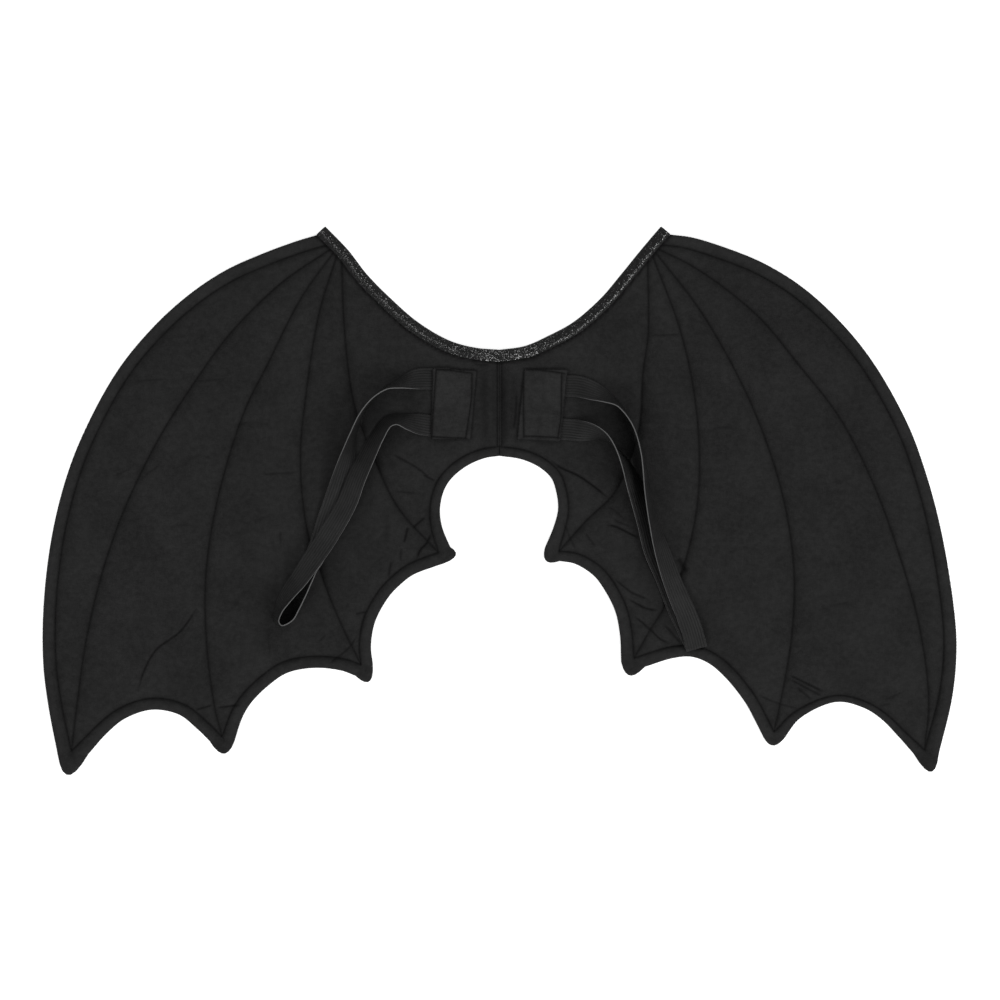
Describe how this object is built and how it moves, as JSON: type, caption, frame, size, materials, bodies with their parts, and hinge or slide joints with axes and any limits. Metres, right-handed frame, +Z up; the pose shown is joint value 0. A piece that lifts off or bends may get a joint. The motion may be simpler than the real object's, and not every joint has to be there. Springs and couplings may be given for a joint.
{
  "type": "costume bat wings",
  "caption": "Quilted felt costume wings with scalloped lower edge, sewn ribs, bound neck curve and elastic arm loops.",
  "frame": {"origin": "middle of the underside of the box that holds the whole part", "axes": "+X along the span to the right wing as seen from the strap side, +Y from the wing tips to the neck, +Z up out of the strap side"},
  "size_m": [0.8692, 0.5224, 0.0256],
  "materials": {
    "wing_felt": "matt felt",
    "patch_felt": "matt felt",
    "glitter_binding": "woven glitter cloth",
    "elastic": "ribbed elastic"
  },
  "bodies": {
    "root": {"wing_left": "wing_felt", "wing_right": "wing_felt", "neck_binding": "glitter_binding", "strap_patch_left": "patch_felt", "strap_patch_right": "patch_felt", "strap_left": "elastic", "strap_right": "elastic"}
  },
  "joints": []
}
